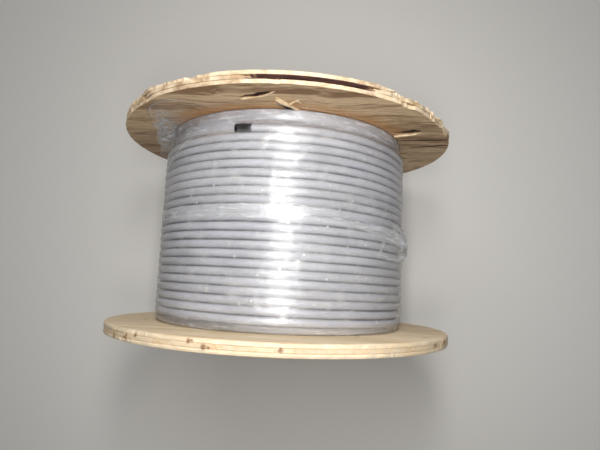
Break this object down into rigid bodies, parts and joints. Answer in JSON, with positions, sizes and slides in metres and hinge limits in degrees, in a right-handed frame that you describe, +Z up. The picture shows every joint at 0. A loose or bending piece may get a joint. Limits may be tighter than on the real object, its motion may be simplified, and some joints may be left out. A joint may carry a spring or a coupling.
{
  "type": "wooden cable drum",
  "caption": "Small plywood cable drum full of round grey cable under clear stretch film, lying on its flange rims.",
  "frame": {"origin": "on the floor under the middle of the drum's whole length, bolt ends included", "axes": "+Y along the drum's axis from the near flange, with the bolt heads, to the far flange, with the nuts; +Z up"},
  "size_m": [0.3048, 0.2004, 0.3048],
  "materials": {
    "plywood": "raw rotary-cut softwood plywood, stained and chipped",
    "paper_tube": "plain spiral-wound brown board",
    "cable_jacket": "smooth satin grey PVC",
    "black_tape": "black PVC tape",
    "stretch_film": "clear glossy polyethylene film, hazy where it is gathered",
    "zinc_steel": "bright zinc plate"
  },
  "bodies": {
    "root": {"near_flange": "plywood", "far_flange": "plywood", "core_tube": "paper_tube", "cable_winding": "cable_jacket", "cable_end_tape": "black_tape", "stretch_film": "stretch_film", "tie_bolt_1": "zinc_steel", "washer_1": "zinc_steel", "nut_1": "zinc_steel", "tie_bolt_2": "zinc_steel", "washer_2": "zinc_steel", "nut_2": "zinc_steel", "tie_bolt_3": "zinc_steel", "washer_3": "zinc_steel", "nut_3": "zinc_steel"}
  },
  "joints": []
}
